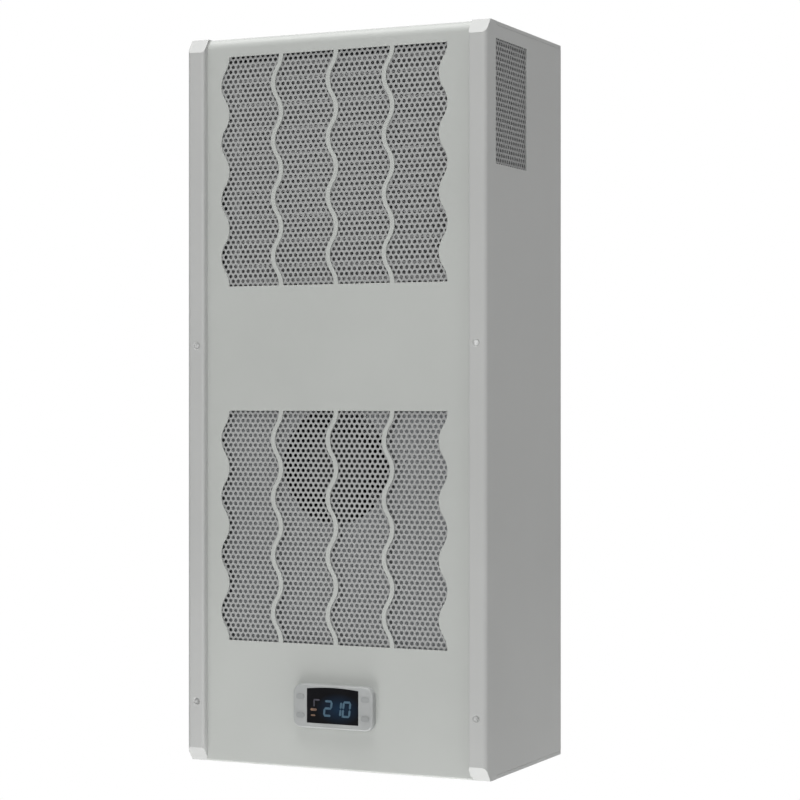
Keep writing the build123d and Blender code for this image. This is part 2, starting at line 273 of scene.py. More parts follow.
def dress(piece, material, nodes=(), body="housing"):
    """Gives a finished piece its material and ties it to the frame."""
    deselect()
    piece.data.materials.clear()
    piece.data.materials.append(material)
    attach(piece, body)
    if nodes:
        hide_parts(*nodes)
    faces = len(piece.data.polygons)
    size = [round(side / MM, 1) for side in piece.dimensions]
    print(f"{piece.name}: {faces} faces, {size} mm")


# %% [markdown]
# ## Finishes
#
# A finish is a small sum of patterns: a slow drift of tone, a fine grain, a roughness that wanders.
# Written as Python expressions the sums stay readable, so one small class stands for the value of a
# socket and turns + and * into Math nodes. Every other node comes from one method. Patterns read
# Object coordinates, which are metres here, so a scale of 400 means features of about 2.5 mm.

# %% Values and nodes
class Value:
    """The value of a socket, with the arithmetic that the finishes use."""

    def __init__(self, finish, socket):
        self.finish = finish
        self.socket = socket

    def maths(self, operation, first, second):
        return self.finish.node("ShaderNodeMath", {"operation": operation}, {0: first, 1: second})

    def __add__(self, other):
        return self.maths("ADD", self, other)

    def __radd__(self, other):
        return self.maths("ADD", other, self)

    def __mul__(self, other):
        return self.maths("MULTIPLY", self, other)

    def __rmul__(self, other):
        return self.maths("MULTIPLY", other, self)


class Finish:
    """A material in the making."""

    def __init__(self, name):
        self.material = bpy.data.materials.new(name)
        self.material.use_nodes = True
        self.tree = self.material.node_tree
        self.tree.nodes.clear()
        self.place = self.node("ShaderNodeTexCoord", output="Object")

    def node(self, kind, settings=None, sockets=None, output=0):
        """Adds a node: its settings first, then the values or links of its sockets."""
        node = self.tree.nodes.new(kind)
        for name, value in (settings or {}).items():
            setattr(node, name, value)
        for name, value in (sockets or {}).items():
            if isinstance(value, Value):
                self.tree.links.new(value.socket, node.inputs[name])
            else:
                node.inputs[name].default_value = value
        return Value(self, node.outputs[output]) if node.outputs else None

    def noise(self, scale, detail=2.0, roughness=0.5, at=None):
        """Cloudy noise between about 0.3 and 0.7."""
        sockets = {"Vector": at or self.place, "Scale": scale, "Detail": detail, "Roughness": roughness}
        return self.node("ShaderNodeTexNoise", {}, sockets)

    def cells(self, scale, output="Distance"):
        """A pattern of cells."""
        return self.node("ShaderNodeTexVoronoi", {}, {"Vector": self.place, "Scale": scale}, output)

    def grade(self, value, low, high, to_low=0.0, to_high=1.0):
        """Maps a value from one range to another and stops at the ends."""
        sockets = {"Value": value, 1: low, 2: high, 3: to_low, 4: to_high}
        return self.node("ShaderNodeMapRange", {"clamp": True}, sockets)

    def blend(self, amount, first, second):
        """Mixes two colours."""
        def colour(value):
            return value if isinstance(value, Value) else (*value, 1)
        sockets = {0: amount, 6: colour(first), 7: colour(second)}
        return self.node("ShaderNodeMix", {"data_type": "RGBA"}, sockets, 2)

    def stretched(self, x, y, z):
        """Object coordinates stretched along the axes, for grain that runs one way."""
        return self.node("ShaderNodeMapping", {}, {"Vector": self.place, "Scale": (x, y, z)})

    def bump(self, height, strength, distance):
        """A normal from a height pattern, with the distance in millimetres."""
        sockets = {"Height": height, "Strength": strength, "Distance": distance * MM}
        return self.node("ShaderNodeBump", {}, sockets)

    def surface(self, **sockets):
        """The shader and the output, with socket names written with underscores."""
        named = {name.replace("_", " "): value for name, value in sockets.items()}
        for name, value in named.items():
            if isinstance(value, tuple):
                named[name] = (*value, 1)
        shader = self.node("ShaderNodeBsdfPrincipled", {}, named)
        self.node("ShaderNodeOutputMaterial", {}, {"Surface": shader})
        return self.material


# %% [markdown]
# ### Powder coat
#
# The housing is steel sheet with a baked light grey powder coat. Up close such a coat has a fine
# orange-peel skin: low bumps about a millimetre apart. Nor is it one flat colour: the tone drifts by a
# few percent over a hand's breadth, and the roughness wanders with it.

# %% Powder coat
def powder_coat(name, colour, peel=0.25):
    """Light grey powder coat with a fine orange-peel skin."""
    finish = Finish(name)
    drift = finish.grade(finish.noise(9.0, 3.0), 0.3, 0.7)
    grain = finish.noise(1500.0, 2.0)
    speck = finish.grade(grain, 0.35, 0.65, -0.5, 0.5)
    darker = [c * 0.965 for c in colour]
    lighter = [min(c * 1.03, 1.0) for c in colour]
    tone = finish.blend(drift * 0.8 + speck * 0.12 + 0.1, darker, lighter)
    skin = finish.noise(900.0, 2.0, 0.45)
    rough = 0.44 + drift * 0.06 + speck * 0.04
    normal = finish.bump(skin, peel, 0.05)
    return finish.surface(Base_Color=tone, Roughness=rough, Normal=normal, Specular_IOR_Level=0.4)


HOUSING_GREY = (0.447, 0.452, 0.444)
FRONT_GREY = (0.450, 0.464, 0.445)
# The perforated grey is darker than the front's: painted shade of the holes and of the recess that the
# grille sheets lie in.
PERFORATED_GREY_PAINTED_SHADE = (0.352, 0.357, 0.353)
# The vent grey is darker still: painted shade of the recess and the dark space behind the side vents.
VENT_GREY_PAINTED_SHADE = (0.270, 0.272, 0.271)
housing_paint = powder_coat("housing_powder_coat", HOUSING_GREY)
front_paint = powder_coat("front_powder_coat", FRONT_GREY)
perforated_painted_shade_coat = powder_coat("perforated_coat_with_painted_shade", PERFORATED_GREY_PAINTED_SHADE, 0.15)
vent_painted_shade_coat = powder_coat("vent_coat_with_painted_shade", VENT_GREY_PAINTED_SHADE, 0.15)
print("powder coats", housing_paint.name, front_paint.name, perforated_painted_shade_coat.name, vent_painted_shade_coat.name)

# %% [markdown]
# ### Zinc-coated sheet
#
# Inner plates aren't painted. Their zinc coat shows spangle: flat crystals a few millimetres wide that
# each shine a little differently. Cells of a Voronoi pattern, one random tone to each, look just so.
# The plate with the fan's opening gets darker zinc tones, painted shade, so that little light comes
# back from behind the lower grille.

# %% Zinc-coated sheet
def zinc_sheet(name, dark, light):
    """Zinc-coated steel sheet with a faint spangle between two tones."""
    finish = Finish(name)
    spangle = finish.cells(220.0, output="Color")
    tone = finish.node("ShaderNodeSeparateColor", {}, {"Color": spangle})
    haze = finish.grade(finish.noise(30.0, 4.0), 0.35, 0.65)
    colour = finish.blend(tone * 0.6 + haze * 0.4, dark, light)
    rough = 0.34 + tone * 0.10 + haze * 0.08
    normal = finish.bump(finish.noise(600.0, 2.0), 0.2, 0.02)
    return finish.surface(Base_Color=colour, Roughness=rough, Normal=normal, Metallic=0.85)


zinc = zinc_sheet("zinc_coated_sheet", (0.46, 0.475, 0.49), (0.62, 0.635, 0.65))
# The darker pair of tones is painted shade for the plate behind the lower grille.
zinc_with_painted_shade = zinc_sheet("zinc_sheet_with_painted_shade", (0.27, 0.28, 0.29), (0.37, 0.38, 0.39))
print("zinc sheets", zinc.name, zinc_with_painted_shade.name)

# %% [markdown]
# ### Plastics, foam and aluminium
#
# Moulded plastic has a fine spark-eroded grain. The foam seal is full of tiny cells. The coil is
# brazed aluminium: dull, with faint flow marks along its tubes.

# %% Moulded plastic
def moulded_plastic(name, colour, rough, grain=900.0, depth=0.3):
    """Moulded plastic with a fine grain."""
    finish = Finish(name)
    patch = finish.grade(finish.noise(60.0, 3.0), 0.35, 0.65)
    dots = finish.noise(grain, 2.0)
    tone = finish.blend(patch, [c * 0.95 for c in colour], [min(c * 1.05, 1) for c in colour])
    normal = finish.bump(dots, depth, 0.03)
    return finish.surface(Base_Color=tone, Roughness=rough + patch * 0.06, Normal=normal)


bezel_plastic = moulded_plastic("bezel_plastic", (0.352, 0.362, 0.360), 0.36)
key_plastic = moulded_plastic("key_plastic", (0.275, 0.286, 0.284), 0.5)
case_plastic = moulded_plastic("case_plastic", (0.035, 0.036, 0.038), 0.42)
blade_plastic = moulded_plastic("blade_plastic", (0.030, 0.031, 0.032), 0.36)
frame_black = moulded_plastic("fan_frame_black", (0.032, 0.032, 0.034), 0.46, 600.0, 0.5)
print("plastics made")


# %% Foam, aluminium and steel
def foam(name):
    """Closed-cell foam rubber."""
    finish = Finish(name)
    pores = finish.cells(700.0)
    tone = finish.blend(finish.grade(pores, 0.1, 0.6), (0.018, 0.018, 0.019), (0.045, 0.045, 0.046))
    normal = finish.bump(pores, 0.7, 0.12)
    return finish.surface(Base_Color=tone, Roughness=0.82 + pores * 0.1, Normal=normal)


def aluminium(name, bright, metallic):
    """Brazed aluminium with flow marks along X."""
    finish = Finish(name)
    marks = finish.noise(60.0, 4.0, 0.6, finish.stretched(1, 12, 12))
    dull = finish.grade(marks, 0.35, 0.65)
    low = [bright * 0.86] * 3
    colour = finish.blend(dull, low, [bright, bright * 1.005, bright * 1.015])
    normal = finish.bump(marks, 0.15, 0.03)
    rough = 0.38 + dull * 0.14
    return finish.surface(Base_Color=colour, Roughness=rough, Normal=normal, Metallic=metallic)


def plated_steel(name, dark, light):
    """Zinc-plated steel with patches of wear between two tones."""
    finish = Finish(name)
    wear = finish.grade(finish.noise(700.0, 3.0), 0.35, 0.65)
    colour = finish.blend(wear, dark, light)
    normal = finish.bump(wear, 0.15, 0.02)
    rough = 0.26 + wear * 0.14
    return finish.surface(Base_Color=colour, Roughness=rough, Normal=normal, Metallic=0.95)


seal_foam = foam("seal_foam")
coil_metal = aluminium("coil_aluminium", 0.72, 0.1)
fin_metal = aluminium("fin_aluminium", 0.95, 0.1)
motor_steel = plated_steel("motor_steel", (0.50, 0.51, 0.50), (0.70, 0.71, 0.70))
screw_steel = plated_steel("screw_steel", (0.50, 0.505, 0.50), (0.66, 0.665, 0.66))
print("foam and metals made")

# %% [markdown]
# ### The display window
#
# Behind the black window lies a back-lit display. Around its digits the backing glows a very dark
# blue. A soft spot in Object coordinates gives that glow, and the gloss comes from the shader.

# %% Display window
WINDOW_LOW, WINDOW_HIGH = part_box("controller_window")
DISPLAY_X = (WINDOW_LOW.x + WINDOW_HIGH.x) / 2 / MM
DISPLAY_Z = (WINDOW_LOW.z + WINDOW_HIGH.z) / 2 / MM
DISPLAY_Y = WINDOW_LOW.y / MM
GLOW_SHIFT = 6.0
GLOW_DROP = 2.5
GLOW_SHRINK = (44, 0, 72)


def window_glass(name):
    """Black glossy window with a dark blue glow round its digits."""
    finish = Finish(name)
    centre = (-(DISPLAY_X + GLOW_SHIFT) * MM, 0, -(DISPLAY_Z - GLOW_DROP) * MM)
    moved = finish.node("ShaderNodeMapping", {}, {"Vector": finish.place, "Location": centre})
    oval = finish.node("ShaderNodeMapping", {}, {"Vector": moved, "Scale": GLOW_SHRINK})
    spot = finish.node("ShaderNodeTexGradient", {"gradient_type": "SPHERICAL"}, {"Vector": oval})
    dust = finish.noise(120.0, 3.0)
    glow = finish.blend(spot, (0.0, 0.0, 0.0), (0.003, 0.018, 0.042))
    base = finish.blend(dust, (0.006, 0.006, 0.007), (0.010, 0.010, 0.011))
    rough = 0.10 + dust * 0.08
    return finish.surface(Base_Color=base, Roughness=rough, Specular_IOR_Level=0.12,
                          Emission_Color=glow, Emission_Strength=1.0)


def lit_segment(name, colour, edge):
    """The light of a display segment, a little uneven along its length."""
    finish = Finish(name)
    uneven = finish.grade(finish.noise(260.0, 2.0), 0.35, 0.65)
    glow = finish.blend(uneven, edge, colour)
    return finish.surface(Base_Color=(0.01, 0.01, 0.012), Roughness=0.3,
                          Emission_Color=glow, Emission_Strength=1.0)


glass = window_glass("display_window")
digit_light = lit_segment("digit_light", (0.050, 0.108, 0.155), (0.034, 0.080, 0.120))
icon_light = lit_segment("icon_light", (0.210, 0.120, 0.070), (0.120, 0.070, 0.045))
# Signs that are off get a faint glow: a painted reflection, since they give no light of their own.
unlit_sign_painted_glow = lit_segment("unlit_sign_painted_glow", (0.050, 0.045, 0.060), (0.030, 0.030, 0.040))
print("display at", round(DISPLAY_X, 1), round(DISPLAY_Z, 1))

# %% [markdown]
# ## The centre front panel
#
# One folded sheet with a wide bend at the top, a sharp one at the bottom, and two grilles of four wavy
# windows. It could be cut out by booleans with wavy prisms, but that leaves long thin triangles. A
# quad grid whose lines run along the window edges is cleaner: the columns are pulled out one by one,
# the rows between a grille's top and bottom are subdivided, each row slides sideways by the wave, and
# the faces that lie in the windows are deleted. The sheet gets its thickness last. Its side edges run a
# little way into the walls of the rails, so that no light shows between them.

# %% Sizes of the front panel
PANEL_LOW, PANEL_HIGH = [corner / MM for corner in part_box("front_panel")]
SHEET = 1.5
TOP_BEND = 10.0
BOTTOM_BEND = 2.5
GRILLE_WIDTH = 212.0
GRILLE_HEIGHT = 204.0
GAP_ABOVE = 17.5
GAP_BELOW = 109.0
UPPER_TOP = PANEL_HIGH.z - GAP_ABOVE
LOWER_TOP = PANEL_LOW.z + GAP_BELOW + GRILLE_HEIGHT
COLUMNS = 4
BAR = 4.2
WAVE = 4.0
PERIODS = 4
ROWS = 80
SEAM = 1.2
INSIDE = 1.0
SHEET_EDGE = 0.3
CONTROLLER_RISE = 55.5
CONTROLLER_Z = PANEL_LOW.z + CONTROLLER_RISE


def wave(drop):
    """How far a wavy edge stands to the right, at a distance below a grille's top."""
    half = GRILLE_HEIGHT / PERIODS / 4
    radius = (half**2 + WAVE**2) / (2 * WAVE)
    from_crest = (drop + half) % (2 * half) - half
    crest = -1 if (drop + half) // (2 * half) % 2 else 1
    return crest * (WAVE - radius + math.sqrt(radius**2 - from_crest**2))


def column_lines():
    """The mean left and right edges of the wavy columns, whose crests at the top are centred."""
    pitch = (GRILLE_WIDTH + BAR) / COLUMNS
    left = [-WAVE - GRILLE_WIDTH / 2 + i * pitch for i in range(COLUMNS)]
    return [(x, x + pitch - BAR) for x in left]


print("columns", [(round(left, 1), round(right, 1)) for left, right in column_lines()])


# %% Front panel
def front_panel():
    """The folded centre panel with its wavy windows."""
    y = PANEL_LOW.y
    rows = [PANEL_LOW.z + BOTTOM_BEND, LOWER_TOP - GRILLE_HEIGHT, LOWER_TOP,
            UPPER_TOP - GRILLE_HEIGHT, UPPER_TOP, PANEL_HIGH.z - TOP_BEND]
    lines = [PANEL_LOW.x - SEAM, *(x for pair in column_lines() for x in pair), PANEL_HIGH.x + SEAM]
    panel = add_plate("front_panel_sheet", (lines[0], y, rows[0]), (lines[1], y, rows[1]), "Y")
    pick("EDGE", lambda at, edge: near(at.z, rows[1]))
    for lower, upper in zip(rows[1:], rows[2:]):
        pull(z=upper - lower)
    pick("EDGE", lambda at, edge: near(at.x, lines[1]))
    for left, right in zip(lines[1:], lines[2:]):
        pull(x=right - left)

    def between_ends(at):
        return lines[0] + INSIDE < at.x < lines[-1] - INSIDE

    for top in (UPPER_TOP, LOWER_TOP):
        pick("EDGE", lambda at, edge: near(at.z, top - GRILLE_HEIGHT / 2))
        bpy.ops.mesh.subdivide(number_cuts=ROWS - 1)
        for i in range(ROWS + 1):
            drop = i * GRILLE_HEIGHT / ROWS
            pick("VERT", lambda at, vertex: near(at.z, top - drop) and between_ends(at))
            shift(x=wave(drop))

    def in_window(at, face):
        for top in (UPPER_TOP, LOWER_TOP):
            if 0 < top - at.z < GRILLE_HEIGHT:
                x = at.x - wave(top - at.z)
                return any(left + INSIDE < x < right - INSIDE for left, right in column_lines())
        return False

    drop_faces(in_window)
    return panel


panel = front_panel()
print("open grid", len(bmesh.from_edit_mesh(panel.data).faces), "faces")

# %% [markdown]
# The cut-out for the controller is four bisect cuts through the lower band, and the folds at the top
# and the bottom are a spin and a pull each.

# %% Cut-out and folds
CUT_OUT_X = 35.5
CUT_OUT_Z = 14.5


def in_lower_band(at, face):
    """Faces of the band below the lower grille."""
    return at.z < LOWER_TOP - GRILLE_HEIGHT


for side in (CUT_OUT_X, -CUT_OUT_X):
    cut((side, 0, 0), X_AXIS, test=in_lower_band)
for side in (CUT_OUT_Z, -CUT_OUT_Z):
    cut((0, 0, CONTROLLER_Z + side), Z_AXIS, test=in_lower_band)
drop_faces(lambda at, face: abs(at.x) < CUT_OUT_X and abs(at.z - CONTROLLER_Z) < CUT_OUT_Z)

pick("EDGE", lambda at, edge: near(at.z, PANEL_HIGH.z - TOP_BEND) and open_edge(edge))
fold((0, PANEL_LOW.y + TOP_BEND, PANEL_HIGH.z - TOP_BEND), X_AXIS, -90, steps=12)
pull(y=PANEL_HIGH.y - PANEL_LOW.y - TOP_BEND)
pick("EDGE", lambda at, edge: near(at.z, PANEL_LOW.z + BOTTOM_BEND) and open_edge(edge))
fold((0, PANEL_LOW.y + BOTTOM_BEND, PANEL_LOW.z + BOTTOM_BEND), X_AXIS, 90, steps=6)
pull(y=PANEL_HIGH.y - PANEL_LOW.y - BOTTOM_BEND)
face_towards(panel, (0, -1, 0))
thicken(panel, SHEET)
ease_edges(panel, SHEET_EDGE)
even_shading(panel)
dress(panel, front_paint, ["front_panel"])

# %% [markdown]
# ## Perforated sheets
#
# Behind the wavy windows lies perforated sheet. The photograph is too soft to show its holes, but it
# shows their rows, and these have the pitch of a common sheet: round holes of 3.5 mm, staggered, 5 mm
# apart. The side vents are given the same. The smallest piece that repeats is a hexagon with one hole:
# a ring of twelve quads. It is modelled once, an array lays it in a row, a shifted copy makes the
# second row, and another array repeats the two. The field is trimmed to the sheet, so that the trim
# runs through the holes, as it does on sheet that is cut from a larger one.

# %% One hole and its field
PITCH = 5.0
HOLE_R = 1.75
HOLE_SIDES = 12
OFF_RIM = 0.2
ROW_PITCH = PITCH * math.sqrt(3) / 2
PERFORATED_T = 1.0


def perforated_field(name, width, height):
    """A flat field of staggered round holes, centred on the origin in X and Y, in object mode."""
    deselect()
    bpy.ops.mesh.primitive_circle_add(vertices=HOLE_SIDES, radius=HOLE_R * MM)
    sheet = bpy.context.object
    sheet.name = name
    bpy.ops.object.mode_set(mode="EDIT")
    pick("EDGE", lambda at, edge: True)
    pull()
    bpy.ops.transform.resize(value=[PITCH / 2 / HOLE_R] * 3)
    sixth = math.radians(60)

    def on_corner(at, vertex):
        """Whether a vertex of the outer ring is at one of the hexagon's six corners."""
        turned = (math.atan2(at.y, at.x) - sixth / 2) % sixth
        return at.length > HOLE_R + OFF_RIM and min(turned, sixth - turned) < sixth / 10

    pick("VERT", on_corner)
    bpy.ops.transform.resize(value=[2 / math.sqrt(3)] * 3)

    columns = math.ceil(width / PITCH) + 2
    repeat(sheet, columns, x=PITCH, weld=True)
    bpy.ops.object.mode_set(mode="EDIT")
    bpy.ops.mesh.select_all(action="SELECT")
    second_row = {"value": (PITCH / 2 * MM, ROW_PITCH * MM, 0)}
    bpy.ops.mesh.duplicate_move(TRANSFORM_OT_translate=second_row)
    bpy.ops.object.mode_set(mode="OBJECT")
    pairs = math.ceil(height / ROW_PITCH / 2) + 1
    repeat(sheet, pairs, y=2 * ROW_PITCH)

    bpy.ops.object.mode_set(mode="EDIT")
    bpy.ops.mesh.select_all(action="SELECT")
    bpy.ops.mesh.remove_doubles(threshold=WELD * MM)
    shift(x=-(columns - 0.5) * PITCH / 2, y=-(2 * pairs - 1) * ROW_PITCH / 2)
    for side in (1, -1):
        cut((side * width / 2, 0, 0), (side, 0, 0), keep_all=False)
        cut((0, side * height / 2, 0), (0, side, 0), keep_all=False)
    deselect()
    return sheet


def hang(sheet, turn, low, high, towards):
    """Turns a flat field upright, moves it to a node's place and gives it its thickness."""
    only(sheet)
    sheet.rotation_euler = turn
    sheet.location = [(start + end) / 2 for start, end in zip(low, high)]
    bpy.ops.object.transform_apply()
    face_towards(sheet, towards)
    thicken(sheet, PERFORATED_T)


# %% Grille sheets
def grille_sheet(node):
    """The perforated sheet behind one grille, at its CAD node's place."""
    low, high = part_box(node)
    sheet = perforated_field(node + "_sheet", (high.x - low.x) / MM, (high.z - low.z) / MM)
    front = Vector((high.x, low.y, high.z))
    hang(sheet, (math.pi / 2, 0, 0), low, front, (0, -1, 0))
    # The grille sheets carry painted shade in their darker grey.
    dress(sheet, perforated_painted_shade_coat, [node])


for node in ("upper_grille", "lower_grille"):
    grille_sheet(node)


# %% Side vent sheets
def vent_sheet(node, side):
    """The perforated sheet behind a side vent."""
    low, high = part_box(node)
    sheet = perforated_field(node + "_sheet", (high.y - low.y) / MM, (high.z - low.z) / MM)
    outer = high.x if side > 0 else low.x
    turn = (math.pi / 2, 0, math.pi / 2)
    hang(sheet, turn, (outer, low.y, low.z), (outer, high.y, high.z), (side, 0, 0))
    # The vent sheets carry painted shade in their darker grey.
    dress(sheet, vent_painted_shade_coat, [node])


for node, side in (("right_vent_grille", 1), ("left_vent_grille", -1)):
    vent_sheet(node, side)

# %% [markdown]
# ## The side panels and their rails
#
# Each side of the housing is one sheet. It runs forward along the side, folds round the corner into
# the raised rail, steps back beside the centre panel and ends in a ledge behind it. The quickest true
# way is the press brake's: start with the flat side wall and fold its front edge again and again.

# %% Sizes of the side panel
SIDE_LOW, SIDE_HIGH = [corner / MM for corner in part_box("right_side_panel")]
CORNER = 4.0
RAIL = 17.0
RAIL_EDGE = 2.5
RAIL_STEP = 8.5
LEDGE = 12.0
LEDGE_BEND = 0.4
SLOPE_DEPTH = 9.3
SLOPE_HEIGHT = 12.5
COVER_Y = PANEL_HIGH.y
COVER_LIP = 3.5
BEND_ROOM = 8.5
SKIRT = 3.5
HAIR = 0.02


def side_sheet():
    """The folded sheet, full height, with its front edges folded one after the other."""
    side, front, top = SIDE_HIGH.x, SIDE_LOW.y, SIDE_HIGH.z
    low, high = (side, front + CORNER, -top), (side, SIDE_HIGH.y, top)
    wall = add_plate("right_side_sheet", low, high, "X")
    pick("EDGE", lambda at, edge: near(at.y, front + CORNER))
    fold((side - CORNER, front + CORNER, 0), Z_AXIS, -90, steps=8)
    pull(x=-(RAIL - CORNER - RAIL_EDGE))
    fold((side - RAIL + RAIL_EDGE, front + RAIL_EDGE, 0), Z_AXIS, -90, steps=6)
    pull(y=RAIL_STEP - RAIL_EDGE - LEDGE_BEND)
    fold((side - RAIL - LEDGE_BEND, front + RAIL_STEP - LEDGE_BEND, 0), Z_AXIS, 90, steps=3)
    pull(x=-(LEDGE - LEDGE_BEND))
    return wall


side_wall = side_sheet()
corners = [vertex.co / MM for vertex in bmesh.from_edit_mesh(side_wall.data).verts]
print("ledge ends at x", round(min(at.x for at in corners), 2))
print("rail's front at y", round(min(at.y for at in corners), 2))

# %% [markdown]
# The rail's ends are closed by a sloped cap that leans back to the top of the housing. A bisect trims
# the folds along the slope, the rim that is left is filled with one face, and the cap's rear edge is
# pulled back into a short tab that meets the top cover, with a skirt down to the centre panel. The
# ledge behind the panel stops short of both ends, to leave room for the panel's bends.

# %% Rail ends, vent opening and screw seats
def trim_end(end, height, test):
    """Takes off what some faces have beyond a height, and leaves their neighbours whole."""
    cut((0, 0, end * height), (0, 0, end), test=test)
    drop_faces(lambda at, face: test(at, face) and end * at.z > height)


def close_rail_end(end):
    """Trims the rail's end along its slope, closes it with a cap and pulls out the tab."""
    side, front, top = SIDE_HIGH.x, SIDE_LOW.y, SIDE_HIGH.z
    low = front, end * (top - SLOPE_HEIGHT)
    back = front + SLOPE_DEPTH
    normal = Vector((0, -SLOPE_HEIGHT, end * SLOPE_DEPTH)).normalized()
    rail_x = side - RAIL
    cut((0, *low), normal, keep_all=False)
    trim_end(end, top - BEND_ROOM, lambda at, face: at.x < rail_x - HAIR / 2)
    cut((0, COVER_Y, 0), Y_AXIS, test=lambda at, face: near(at.x, side))
    trim_end(end, top - COVER_LIP, lambda at, face: near(at.x, side) and at.y > COVER_Y)

    def on_slope(at, vertex):
        return abs((at - Vector((0, *low))).dot(normal)) < HAIR and at.x > rail_x - HAIR

    inner = front + RAIL_STEP - LEDGE_BEND
    pick("VERT", lambda at, vertex: on_slope(at, vertex) and near(at.x, rail_x) and near(at.y, inner))
    rise = (back - inner) * SLOPE_HEIGHT / SLOPE_DEPTH
    move = {"value": (0, (back - inner) * MM, end * rise * MM)}
    bpy.ops.mesh.extrude_vertices_move(TRANSFORM_OT_translate=move)
    pick("VERT", on_slope)
    bpy.ops.mesh.edge_face_add()

    def on_top(at):
        return near(at.z, end * top)

    pick("EDGE", lambda at, edge: on_top(at) and near(at.y, back) and near(at.x, side - RAIL / 2))
    pull(y=COVER_Y - back)
    pick("EDGE", lambda at, edge: on_top(at) and near(at.x, rail_x) and at.y > back)
    pull(z=-end * SKIRT)
    bpy.ops.mesh.select_all(action="SELECT")
    bpy.ops.mesh.remove_doubles(threshold=WELD * MM)


VENT_LOW, VENT_HIGH = [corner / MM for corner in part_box("right_vent_grille")]
VENT_BORDER = 3.0
VENT_FRONT, VENT_BACK = VENT_LOW.y + VENT_BORDER, VENT_HIGH.y - VENT_BORDER
VENT_BOTTOM, VENT_TOP = VENT_LOW.z + VENT_BORDER, VENT_HIGH.z - VENT_BORDER


def on_side(at, face):
    """Faces of the flat side wall."""
    return near(at.x, SIDE_HIGH.x)


def in_vent(at, face):
    """Faces of the side wall within the vent's opening."""
    return on_side(at, face) and VENT_FRONT < at.y < VENT_BACK and VENT_BOTTOM < at.z < VENT_TOP


for end in (1, -1):
    close_rail_end(end)
for y in (VENT_FRONT, VENT_BACK):
    cut((0, y, 0), Y_AXIS, test=on_side)
for z in (VENT_BOTTOM, VENT_TOP):
    cut((0, 0, z), Z_AXIS, test=on_side)
drop_faces(in_vent)
face_towards(side_wall, (1, 0, 0))
thicken(side_wall, SHEET)
print("side sheet", len(side_wall.data.polygons), "faces")

# %% [markdown]
# Two countersunk screws hold each rail. The seat is a shallow cone taken out of the sheet, a little
# wider than the head, which lies in it just below the face. Nothing stands proud of the housing.

# %% Screw seats and screws
SCREW_INSET = 9.6
SCREW_X = SIDE_HIGH.x - SCREW_INSET
SCREW_HEIGHTS = (48.4, -269.0)
HEAD_R = 2.4
HEAD_DEPTH = 0.7
HEAD_EDGE = 0.08
SUNK = 0.6
SEAT_R = HEAD_R + 1.2
SEAT_FLOOR_R = HEAD_R - 0.2
SEAT_DEPTH = 1.2
PAST_FACE = 0.15
RECESS_LENGTH = 2.8
RECESS_WIDTH = 0.7
RECESS_DEPTH = 0.5
RECESS_TURN = 12


def cone(name, wide, narrow, y0, y1, x, z, sides=32):
    """A cone along Y, wide at the front."""
    tool = add_round(name, wide, y0, y1, x, z, sides)
    pick("FACE", lambda at, face: near(at.y, y1))
    bpy.ops.transform.resize(value=[narrow / wide] * 3)
    deselect()
    return tool


def screw(name, x, z):
    """A countersunk screw head with a cross recess, a little below the face of the rail."""
    front = SIDE_LOW.y + SUNK
    head = cone(name, HEAD_R, HEAD_R - HEAD_DEPTH, front, front + HEAD_DEPTH, x, z, 24)
    centre = (x * MM, front * MM, z * MM)
    low = (x - RECESS_LENGTH / 2, front - PAST_FACE, z - RECESS_WIDTH / 2)
    high = (x + RECESS_LENGTH / 2, front + RECESS_DEPTH, z + RECESS_WIDTH / 2)
    for turn in (RECESS_TURN, RECESS_TURN + 90):
        blade = add_block("driver_blade", low, high)
        bpy.ops.mesh.select_all(action="SELECT")
        bpy.ops.transform.rotate(value=math.radians(turn), orient_axis="Y", center_override=centre)
        deselect()
        cut_away(head, blade)
    ease_edges(head, HEAD_EDGE, 1, 25)
    return head


face_y = SIDE_LOW.y
for z in SCREW_HEIGHTS:
    seat = cone("seat", SEAT_R, SEAT_FLOOR_R, face_y - PAST_FACE, face_y + SEAT_DEPTH, SCREW_X, z)
    cut_away(side_wall, seat)
ease_edges(side_wall, SHEET_EDGE)
left_wall = twin(side_wall, "left_side_sheet")
even_shading(side_wall)
even_shading(left_wall)
dress(side_wall, housing_paint, ["right_side_panel"])
dress(left_wall, housing_paint, ["left_side_panel"])
for side, word in ((1, "right"), (-1, "left")):
    for z, level in zip(SCREW_HEIGHTS, ("upper", "lower")):
        dress(screw(f"{word}_{level}_screw", side * SCREW_X, z), screw_steel)

# %% [markdown]
# ## Top cover and bottom tray
#
# Both are flat sheets with a short lip folded down, or up, along each side, so that a fine line shows
# on the side wall just below the top edge and just above the bottom one.

# %% Covers
DRAIN_LOW, DRAIN_HIGH = [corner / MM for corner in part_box("drain_spigot")]
NECK_R = 8.5
NECK_CUT = 10.0
COVER_EDGE = 0.5


def cover_sheet(node, end):
    """Top cover or bottom tray with its side lips."""
    low, high = [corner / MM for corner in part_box(node)]
    face = high.z if end > 0 else low.z
    sheet = add_plate(node + "_sheet", (low.x, low.y, face), (high.x, high.y, face), "Z")
    for side in (low.x, high.x):
        pick("EDGE", lambda at, edge: near(at.x, side) and near(at.z, face))
        pull(z=-end * (high.z - low.z))
    face_towards(sheet, (0, 0, end))
    thicken(sheet, SHEET)
    return sheet


